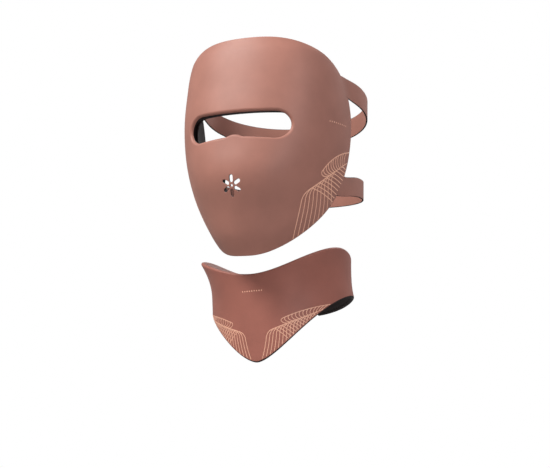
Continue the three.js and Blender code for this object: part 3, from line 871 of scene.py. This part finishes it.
def controls(prefix, body, key_body, nodes, places, cover, radius):
    """One unit's key, status light and charging contact. places are (centre, outward) for the three."""
    key_place, light_place, contact_place = places
    key_node, light_node, contact_node = nodes
    back = cover + 0.35
    behind = cover + 0.3
    key = key_profile(radius, 0.8, back, 0.9)
    lens = lens_profile(LIGHT_RADIUS, 0.2, behind)
    contact = contact_profile(CONTACT_RADIUS, 0.5, behind)
    pieces = [
        ("key", key_place, key, [PLASTIC], key_node, key_body, "dark_plastic", None),
        ("status_lens", light_place, lens, [LENS], light_node, body, "light_lens", None),
        ("contact_disc", contact_place, contact, [GOLD, PLASTIC], contact_node, body, "contact_gold",
         contact_slot),
    ]
    for part, (centre, outward), profile, materials, node, rides_on, slot, slots in pieces:
        shape = turned(Shape(), centre, outward, profile, 56, slots)
        piece = make(f"{prefix}_{part}", shape, materials, sharp=38)
        stand_for(piece, rides_on, node)


def face_controls():
    places = []
    for height in (BUTTON_HEIGHT, LIGHT_HEIGHT, CONTACT_HEIGHT):
        p = np.array([[CONTROL_U * ARC, height]])
        places.append((face_point(p)[0], normal(face_point, p)[0]))
    nodes = ("power_button", "status_light", "charge_contact")
    controls("face", "face_mask", "power_button", nodes, places, COVER, KEY_RADIUS)


def collar_controls():
    angle = radians(COLLAR_CONTROLS_AT)
    outward = tilted(np.array([sin(angle), -cos(angle), 0])) - tilted(np.zeros(3))
    places = [(spot(collar_point, angle * COLLAR_ARC, level), outward) for level in COLLAR_CONTROL_LEVELS]
    nodes = ("collar_button", "collar_status_light", "collar_charge_contact")
    controls("collar", "neck_collar", "collar_button", nodes, places, COLLAR_COVER, COLLAR_KEY_RADIUS)


# ---------------------------------------------------------------- head straps
STRAP_INSIDE = 9.0  # how far a strap's root laps under the rim, on the shell
STRAP_FLUSH = 0.1  # how far its outer side stands above the shell at the rim, after starting below it
STRAP_END = 9.5  # where it ends inside its clasp, from the middle plane
LEAD = 0.36  # share of the run to the side that its two curve handles take
LAP_POINTS, BAND_POINTS, WIDTH_POINTS, EDGE_POINTS = 7, 46, 9, 7
EASING_PASSES = 26
EASED_FROM, EASED_TO = 2, 22  # points of the line between which the corner at the rim is eased


def band_line(band, h, count):
    """Middle line of a strap on the +X side from the mask's edge to the clasp, at a share h of its height."""
    low, high = band["root"]
    side_x, side_y = band["side"]
    root_z = mix(low, high, h)
    root = spot(face_point, reach(root_z) * ARC, root_z) + [-0.9, 0.9, 0]

    def level(y):
        return band["level"] - band["slope"] * (y - side_y) + (h - 0.5) * band["height"]
    lead = (side_y - root[1]) * LEAD
    side = (side_x, side_y, level(side_y))
    forward = bezier([root, (mix(root[0], side_x, 0.45), root[1] + lead, mix(root_z, side[2], 0.3)),
                      (side_x, side_y - lead, level(side_y - lead)), side], count)
    corner_x, corner_y = band["corner"]
    corner_y = mix(side_y, band["rear"], corner_y)
    rear = band["rear"]
    rearward = bezier([side, (side_x, corner_y, level(corner_y)), (side_x * corner_x, rear, level(rear)),
                       (STRAP_END, rear, level(rear))], count)
    return np.vstack([forward, rearward[1:]])


def strap_line(band, h):
    """The strap's whole middle line, with the lap on the shell in front and the corner there eased."""
    root_z = mix(*band["root"], h)
    lap = np.linspace(STRAP_INSIDE, 1.2, LAP_POINTS)
    p = np.stack([reach(root_z) * ARC - lap, np.full(len(lap), root_z)], -1)
    rise = STRAP_FLUSH * (2 * smooth(np.linspace(0, 1.5, len(lap))) - 1)
    on_shell = skin(face_point, p, BAND_THICKNESS / 2 - rise)
    line = np.vstack([on_shell, band_line(band, h, BAND_POINTS)])
    place = np.arange(1, len(line) - 1)
    weight = smooth((place - EASED_FROM) / 3) * smooth((EASED_TO - place) / 6)
    for _ in range(EASING_PASSES):
        middle = 0.25 * line[:-2] + 0.5 * line[1:-1] + 0.25 * line[2:]
        line[1:-1] += (middle - line[1:-1]) * weight[:, None]
    return line


def strap_shape(band, mirror):
    """Flat silicone band with fully rounded edges, whose thin edges are painted dark as shade."""
    radius = BAND_THICKNESS / 2
    edge = radius / band["height"]
    shares = np.linspace(edge, 1 - edge, WIDTH_POINTS)
    lines = np.array([strap_line(band, h) for h in shares])
    along = np.gradient(lines, axis=1)
    upward = unit(np.gradient(lines, axis=0))
    outward = unit(np.cross(along, upward))
    angle = np.linspace(0, pi, EDGE_POINTS + 2)[1:-1]
    rings = []
    for line, out, up in zip(lines.swapaxes(0, 1), outward.swapaxes(0, 1), upward.swapaxes(0, 1)):
        ring = [*(line + out * radius)]
        ring += [line[-1] + radius * (out[-1] * cos(t) + up[-1] * sin(t)) for t in angle]
        ring += [*(line - out * radius)[::-1]]
        ring += [line[0] - radius * (out[0] * cos(t) + up[0] * sin(t)) for t in angle]
        rings.append(ring)
    rings = np.array(rings) * [mirror, 1, 1]
    count = rings.shape[1]
    if mirror > 0:
        rings = rings[:, ::-1]

    # Both thin edges take the dark lining material: painted shade for the band's shadowed underside and dark
    # outline.
    def painted_shade_edges(i):
        j = count - 2 - i if mirror > 0 else i
        upper_edge = WIDTH_POINTS <= j < WIDTH_POINTS + EDGE_POINTS - 1
        lower_edge = 2 * WIDTH_POINTS + EDGE_POINTS <= j < count - 1
        return 1 if upper_edge or lower_edge else 0
    return loft(Shape(), rings, painted_shade_edges)


def straps():
    for level, band in BANDS:
        low, high = band["root"]
        for side, mirror in SIDES:
            body = f"{level}_strap_{side}"
            piece = make(f"{level}_band_{side}", strap_shape(band, mirror), [ROSE, LINING])
            root_z = (low + high) / 2
            root = spot(face_point, reach(root_z) * ARC, root_z)
            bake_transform(piece)
            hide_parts(body)


# A clasp half, in shares of its length from the middle plane, its thickness and its height.
CLASP_THINS_FROM, CLASP_THINS_BY = 0.55, 0.35
CLASP_LOWERS_FROM, CLASP_LOWERS_BY = 0.7, 0.05
GROOVE_AT, GROOVE_WIDTH, GROOVE_DEPTH = 0.42, 0.1, 0.12
END_THICKNESS, NEXT_THICKNESS, END_HEIGHT = 0.86, 0.97, 0.985  # how far the end faces draw in
CLASP_GAP = 0.25  # millimetres from the middle plane to a clasp half
STRAP_CLASP, COLLAR_CLASP = (9.0, 5.0), (10.0, 8.0)  # length and thickness
COLLAR_CLASP_HEIGHT = 30.0


def clasp_shape(length, thickness, height, mirror, centre, tilt=False):
    """A magnetic clasp half: a smooth block that thins to a strap loop, with a finger groove outside."""
    angle = np.linspace(0, 2 * pi, 40, endpoint=False)
    shares = [0, *np.linspace(0, 1, 15), 1]
    rings = []
    for k, share in enumerate(shares):
        taper = 1 - CLASP_THINS_BY * smooth((share - CLASP_THINS_FROM) / (1 - CLASP_THINS_FROM))
        lowering = 1 - CLASP_LOWERS_BY * smooth((share - CLASP_LOWERS_FROM) / (1 - CLASP_LOWERS_FROM))
        groove = GROOVE_DEPTH * np.exp(-(((share - GROOVE_AT) / GROOVE_WIDTH) ** 2))
        from_end = min(k, len(shares) - 1 - k)
        closing = {0: END_THICKNESS, 1: NEXT_THICKNESS}.get(from_end, 1)
        depth = thickness / 2 * (taper - groove) * closing
        tall = height / 2 * lowering * (END_HEIGHT if from_end == 0 else 1)
        y = signed_power(np.sin(angle), 0.45) * depth
        z = signed_power(np.cos(angle), 0.16) * tall
        x = np.full(len(angle), CLASP_GAP + share * length)
        rings.append(np.stack([x * mirror, y, z], -1))
    rings = np.array(rings)
    if mirror < 0:
        rings = rings[:, ::-1]
    rings = rings + centre
    if tilt:
        rings = tilted(rings)
    return loft(Shape(), rings)


def clasps():
    for level, band in BANDS:
        height = band["level"] - band["slope"] * (band["rear"] - band["side"][1])
        for side, mirror in SIDES:
            shape = clasp_shape(*STRAP_CLASP, band["height"] + 1, mirror, [0, band["rear"], height])
            piece = make(f"{level}_buckle_{side}", shape, [PLASTIC], sharp=50)
            stand_for(piece, f"{level}_strap_{side}", f"{level}_clasp_{side}")
    level = (collar_top(pi) + collar_bottom(pi)) / 2 + COLLAR_LEVEL
    for side, mirror in SIDES:
        centre = [0, COLLAR_CENTRE + COLLAR_Y - 4 + 1.2, level]
        shape = clasp_shape(*COLLAR_CLASP, COLLAR_CLASP_HEIGHT, mirror, centre, True)
        piece = make(f"collar_buckle_{side}", shape, [PLASTIC], sharp=50)
        stand_for(piece, f"collar_arm_{side}", f"collar_clasp_{side}")


# ---------------------------------------------------------------- the collar
HEM, REAR_HEM = 9.0, 2.6  # width of the turned-in border at both edges, on the front and on the arms
HEM_NARROWS = (88, 112)  # degrees between which it narrows
HEM_RADIUS = 1.9
# How many points each stretch of the cover's cross section has.
SIDE_POINTS, ROUND_POINTS, HEM_POINTS, STEP_POINTS, INSIDE_POINTS = 22, 9, 6, 2, 8


def collar_hem_depth(p):
    return collar_liner_depth(p) + COLLAR_LINER + 0.15


def hem_width(angle):
    first, last = HEM_NARROWS
    return mix(HEM, REAR_HEM, float(smooth((abs(np.degrees(angle)) - first) / (last - first))))


def collar_section(angle):
    """One closed cross section of the collar's cover, starting at the outside bottom and running up."""
    a = np.array([angle])
    low, high = float(collar_bottom(a)[0]), float(collar_top(a)[0])
    s, wide = angle * COLLAR_ARC, hem_width(angle)

    def at(level, depth):
        p = np.array([[s, level]])
        return skin(collar_point, p, depth)[0]

    def hem(level):
        return float(collar_hem_depth(np.array([[s, level]]))[0])
    arc_angles = np.linspace(0, pi, ROUND_POINTS + 2)[1:-1]
    outer = [at(v, 0) for v in np.linspace(low + HEM_RADIUS, high - HEM_RADIUS, SIDE_POINTS)]
    top = [at(high - HEM_RADIUS + HEM_RADIUS * sin(t), HEM_RADIUS * (1 - cos(t))) for t in arc_angles]
    top_hem = [at(v, hem(v)) for v in np.linspace(high - HEM_RADIUS, high - wide, HEM_POINTS)]
    middle = np.linspace(high - wide - 0.6, low + wide + 0.6, INSIDE_POINTS)
    step_down = [at(high - wide - 0.35, hem(high - wide) - 0.5), at(high - wide - 0.45, COLLAR_COVER + 0.3)]
    inside = [at(v, COLLAR_COVER) for v in middle]
    step_up = [at(low + wide + 0.45, COLLAR_COVER + 0.3), at(low + wide + 0.35, hem(low + wide) - 0.5)]
    bottom_hem = [at(v, hem(v)) for v in np.linspace(low + wide, low + HEM_RADIUS, HEM_POINTS)]
    bottom = [at(low + HEM_RADIUS - HEM_RADIUS * sin(t), HEM_RADIUS * (1 - cos(t))) for t in arc_angles[::-1]]
    return np.array(outer + top + top_hem + step_down + inside + step_up + bottom_hem + bottom)


def collar_cover_slot(i):
    """Rose, except for the dark lining that wraps the lower edge."""
    lower_edge = SIDE_POINTS + ROUND_POINTS + HEM_POINTS + STEP_POINTS + INSIDE_POINTS + STEP_POINTS
    return 1 if lower_edge - 1 <= i < lower_edge + HEM_POINTS + ROUND_POINTS - 1 else 0


def collar_lining_section(angle):
    """One closed cross section of the dark lining, between the two turned-in borders."""
    a = np.array([angle])
    low = float(collar_bottom(a)[0]) + hem_width(angle) + 0.75
    high = float(collar_top(a)[0]) - hem_width(angle) - 0.75
    s = angle * COLLAR_ARC
    levels = np.linspace(low, high, 14)

    def at(level, extra):
        p = np.array([[s, level]])
        return skin(collar_point, p, float(collar_liner_depth(p)[0]) + extra)[0]
    outer = [at(v, 0.25) for v in levels]
    inner = [at(v, COLLAR_LINER + 0.3) for v in levels[::-1]]
    top = [at(high + 0.35, 0.5), at(high + 0.4, 0.9), at(high + 0.3, 1.3)]
    bottom = [at(low - 0.3, 1.3), at(low - 0.4, 0.9), at(low - 0.35, 0.5)]
    return np.array(outer + top + inner + bottom)


COLLAR_STEP = 1.6  # degrees between neighbouring cross sections
COLLAR_LED_ROWS = [  # from and to round the collar in degrees, from and to in height, count
    (-28, 28, -25, -18, 7), (-16, 16, -66, -59, 4), (38, 90, -12, -5, 6), (-90, -38, -12, -5, 6),
    (104, 158, -16, -9, 6), (-158, -104, -16, -9, 6),
]


def collar_length(section, first, last, slot_of):
    """A length of the collar between two angles in degrees, whose ends match the next length's exactly."""
    count = int(round(abs(last - first) / COLLAR_STEP))
    angles = np.radians(np.linspace(first, last, count + 1))
    extra = angles[1] - angles[0]
    rings = np.array([section(a)[::-1] for a in angles])
    before, after = section(angles[0] - extra)[::-1], section(angles[-1] + extra)[::-1]
    total = rings.shape[1]
    return loft(Shape(), rings, lambda i: slot_of((total - 2 - i) % total), before, after)


def collar_windows(shape, first, last):
    spots = []
    for a, b, low, high, count in COLLAR_LED_ROWS:
        for k in range(count):
            degrees = mix(a, b, (k + 0.5) / count)
            if first <= degrees < last:
                spots.append((radians(degrees) * COLLAR_ARC, (low + high) / 2))
    led_windows(shape, collar_point, spots, lambda p: collar_liner_depth(p) + COLLAR_LINER + 0.3, 1, 2.2, 0.7)


def collar():
    lengths = [
        ("front", -COLLAR_SEAM, COLLAR_SEAM), ("side_left", COLLAR_SEAM, COLLAR_END),
        ("side_right", -COLLAR_END, -COLLAR_SEAM),
    ]
    for part, first, last in lengths:
        side = part.split("_")[-1]
        cover = collar_length(collar_section, first, last, collar_cover_slot)
        lining = collar_length(collar_lining_section, first, last, first_slot)
        collar_windows(lining, first, last)
        # The collar shell takes the darker rose copy, painted shade for the mask's shadow.
        for layer, node, shape, materials, slot in (
            ("shell", "cover", cover, [ROSE_PAINTED_SHADE, LINING], "rose_silicone"),
            ("lining", "liner", lining, [LINING, LED_WINDOW], "lining_silicone"),
        ):
            piece = make(f"collar_{part}_{layer}", shape, materials)
            if part == "front":
                stand_for(piece, "neck_collar", f"collar_{node}")
                continue
            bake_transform(piece)
            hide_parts(f"collar_arm_{node}_{side}")


# ---------------------------------------------------------------- printed lines and dots
def ribbon(shape, point, line, width, proud=0.14):
    """A thin raised line of ink along domain points, as a closed strip."""
    place, up = point(line), normal(point, line)
    along = unit(np.gradient(place, axis=0))
    beside = unit(np.cross(along, up))
    half = width / 2
    section = [(-half, -0.12), (-half * 0.9, proud * 0.6), (-half * 0.5, proud), (half * 0.5, proud),
               (half * 0.9, proud * 0.6), (half, -0.12)]
    rings = np.stack([place + beside * b + up * h for b, h in section], 1)
    loft(shape, rings)


def clipped(line, inside):
    """The first run of a line's points that lies inside."""
    good = inside(line)
    if not good.any():
        return None
    start = int(np.argmax(good))
    stop = start
    while stop < len(good) and good[stop]:
        stop += 1
    return line[start:stop] if stop - start >= 4 else None


# Where each sheet's printed lines go, in its own domain. A shoulder runs from the edge down to a corner,
# turns and goes on to the end. fan, cross and ribs count the lines of each family, steps are the spaces
# between neighbouring lines, and fall holds the slopes that the crossing lines run between.
CHEEK_ART = dict(width=1.05, edge=(86, -15.5), corner=(49.8, -59.5), end=(58.4, -103), bend=9, bow=1.6,
                 fan=8, fan_step=4.2, end_step=4.9, cross=10, cross_from=11, cross_step=4.3,
                 fall=(0.34, 0.30), lobe_edge=(87.8, -3), lobe_tip=(63.4, -30.5), lobe_crown=(71, -11),
                 lobe_foot=30.6, lobe_round=5.5, ribs=10)
BIB_ART = dict(width=0.8, edge=(80, -44), corner=(14, -65.2), end=(5.2, -97), bend=6, bow=-1.6,
               fan=14, fan_step=3.8, end_step=3.9, cross=14, cross_from=8, cross_step=4.0, fall=(0.95, 0.60),
               lobe_edge=(91.2, -39.2), lobe_tip=(30.5, -53), lobe_crown=(55, -43), lobe_foot=22.5,
               lobe_round=4.2, ribs=12)


def line_art(point, inside, art, mirror):
    """Fine lines fanning down from a shoulder, a second family across them, and a ribbed lobe above."""
    shape = Shape()
    corner, edge, end = [np.array(art[key], float) for key in ("corner", "edge", "end")]
    way = unit(edge - corner)

    def shoulder(distance):
        return corner + way * distance

    def bent(k):
        """The k-th line of the fan: off the shoulder, round its own corner and down."""
        turn = shoulder(k * art["fan_step"])
        finish = end + [k * art["end_step"], 0]
        after = turn + unit(finish - turn) * art["bend"]
        bow = mix(after, finish, 0.5) - [art["bow"], 0]
        bend = bezier([turn + way * art["bend"], turn, after], 12)
        return np.vstack([bend, bezier([after, bow, finish], 40)[1:]])
    lines = [np.vstack([np.linspace(edge, shoulder(art["bend"]), 30)[:-1], bent(0)])]
    lines += [bent(k) for k in range(1, art["fan"] + 1)]
    for j in range(art["cross"]):
        start = shoulder(art["cross_from"] + j * art["cross_step"])
        heading = np.array([1, -mix(*art["fall"], j / art["cross"])])
        lines.append(bezier([start, start + heading * 9 + [2, 2], start + heading * 45], 60))
    crown = bezier([art["lobe_tip"], art["lobe_crown"], art["lobe_edge"]], 41)
    foot = shoulder(art["lobe_foot"])
    for k in range(art["ribs"] + 1):
        share = k / (art["ribs"] + 1.5)
        top, low = crown[int(round(40 * share))], mix(foot, edge, share)
        swing = way * art["lobe_round"] * (1 - 0.6 * share)
        rib = bezier([top, mix(top, low, 0.1) - swing, mix(top, low, 0.75) - swing, low], 16)
        lines.append(np.vstack([crown[:0:-1], rib]) if k == 0 else rib)
    for line in lines:
        kept = clipped(resample(line, 1.0), inside)
        if kept is not None:
            ribbon(shape, point, kept * [mirror, 1], art["width"])
    return shape


def face_inside(p):
    return outline_share(p) < 0.992


def collar_inside(p):
    return p[:, 1] > collar_bottom(p[:, 0] / COLLAR_ARC) + 1.6


def printed_lines():
    for side, mirror in SIDES:
        cheek = make(f"cheek_lines_{side}", line_art(face_point, face_inside, CHEEK_ART, mirror), [PRINT_INK_PAINTED_GLOW])
        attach(cheek, "face_mask")
        bib = make(f"bib_lines_{side}", line_art(collar_point, collar_inside, BIB_ART, mirror), [PRINT_INK_PAINTED_GLOW])
        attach(bib, "neck_collar")


DOTS = 9
TEMPLE_DOTS = (63.3, 20.4), (79.7, 21.9)  # the row's two ends in the sheet's domain
COLLAR_DOTS = (-12, -22.2), (10, -22.3)


def dot_row(name, point, start, end, count, body):
    """A plain row of small raised dots."""
    shape = Shape()
    radius = 0.75
    dome = [(radius, -0.15)] + [(radius * cos(t), 0.18 * sin(t)) for t in np.linspace(0, 1.4, 5)]
    for p in np.linspace(start, end, count)[:, None]:
        turned(shape, point(p)[0], normal(point, p)[0], dome, 20)
    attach(make(name, shape, [PRINT_INK_PAINTED_GLOW], sharp=60), body)


# ---------------------------------------------------------------- carried-over parts of the frame
def dress_inner_parts():
    """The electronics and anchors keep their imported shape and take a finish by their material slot."""
    finishes = {"flex_board": FILM, "circuit_board": BOARD, "battery_foil": FOIL, "dark_plastic": PLASTIC,
                "lining_silicone": LINING, "rose_silicone": ROSE, "contact_gold": GOLD, "light_lens": LENS}
    for part in frame["record"]["subparts"]:
        mesh = frame["nodes"][part["node"]].data
        mesh.materials.clear()
        mesh.materials.append(finishes[part["material_slot"]])


# ---------------------------------------------------------------- stage, light and camera
def pale_floor():
    """A wide pale floor that reads as white to the camera and gives back only a little light."""
    material, tree, shader = node_material("pale_floor")
    settings(shader, Base_Color=(0.34, 0.33, 0.33, 1), Roughness=0.9)
    glow = tree.nodes.new("ShaderNodeEmission")
    glow.inputs["Color"].default_value = (1, 1, 1, 1)
    rays = tree.nodes.new("ShaderNodeLightPath")
    blend = tree.nodes.new("ShaderNodeMixShader")
    tree.links.new(rays.outputs["Is Camera Ray"], blend.inputs["Fac"])
    tree.links.new(shader.outputs["BSDF"], blend.inputs[1])
    tree.links.new(glow.outputs["Emission"], blend.inputs[2])
    tree.links.new(blend.outputs["Shader"], tree.nodes["Material Output"].inputs["Surface"])
    mesh = bpy.data.meshes.new("floor")
    half, below = 30.0, cad_box[0].z - 0.15
    corners = [(-half, -half, below), (half, -half, below), (half, half, below), (-half, half, below)]
    mesh.from_pydata(corners, [], [(0, 1, 2, 3)])
    mesh.materials.append(material)
    floor = bpy.data.objects.new("floor", mesh)
    put_in_scene(floor)


def studio_world():
    """White to the camera, a dim even grey to everything else."""
    world = bpy.data.worlds.new("studio")
    world.use_nodes = True
    tree = world.node_tree
    tree.nodes.clear()
    seen, lit = tree.nodes.new("ShaderNodeBackground"), tree.nodes.new("ShaderNodeBackground")
    seen.inputs["Color"].default_value = (1, 1, 1, 1)
    lit.inputs["Color"].default_value = (0.9, 0.92, 1.0, 1)
    lit.inputs["Strength"].default_value = 0.22
    rays = tree.nodes.new("ShaderNodeLightPath")
    blend = tree.nodes.new("ShaderNodeMixShader")
    output = tree.nodes.new("ShaderNodeOutputWorld")
    tree.links.new(rays.outputs["Is Camera Ray"], blend.inputs["Fac"])
    tree.links.new(lit.outputs["Background"], blend.inputs[1])
    tree.links.new(seen.outputs["Background"], blend.inputs[2])
    tree.links.new(blend.outputs["Shader"], output.inputs["Surface"])
    bpy.context.scene.world = world


def area_light(name, place, aim, size, power, colour=(1, 1, 1)):
    light = bpy.data.lights.new(name, "AREA")
    light.shape = "DISK"
    light.size = size
    light.energy = power
    light.color = colour
    lamp = bpy.data.objects.new(name, light)
    lamp.location = place
    lamp.rotation_euler = (Vector(aim) - Vector(place)).to_track_quat("-Z", "Y").to_euler()
    put_in_scene(lamp)


def lights():
    middle = Vector(FACE_ORIGIN * MM)
    area_light("key", middle + Vector((-0.8, -0.95, 1.3)), middle, 0.8, 30, (1.0, 0.97, 0.94))
    area_light("fill", middle + Vector((1.4, -1.1, 0.5)), middle, 1.3, 11, (0.98, 0.98, 1.0))
    area_light("back", middle + Vector((0.3, 1.2, 1.0)), middle, 0.8, 10)


def camera():
    """Where the object is seen from: low, and round to the wearer's left."""
    sensor, lens = 36, 67.6
    place = Vector(((FACE_ORIGIN + [437.1, -1028.6, -237.0]) * MM).tolist())
    aim = Vector(((FACE_ORIGIN + [2.3, 13.5, -88.5]) * MM).tolist())
    data = bpy.data.cameras.new("camera")
    data.sensor_width, data.lens = sensor, lens
    view = bpy.data.objects.new("camera", data)
    roll = Matrix.Rotation(radians(0.81), 4, "Z")
    turn = (aim - place).to_track_quat("-Z", "Y").to_matrix().to_4x4()
    view.matrix_world = Matrix.Translation(place) @ turn @ roll
    put_in_scene(view)
    bpy.context.scene.camera = view


dress_inner_parts()
face_shell()
face_lining()
eye_surround()
nose_cushion()
face_controls()
straps()
clasps()
collar()
collar_controls()
printed_lines()
dot_row("temple_dots", face_point, *TEMPLE_DOTS, DOTS, "face_mask")
dot_row("collar_dots", collar_point, *COLLAR_DOTS, DOTS, "neck_collar")
studio_world()
pale_floor()
lights()
camera()
bpy.context.scene.view_settings.view_transform = "Standard"
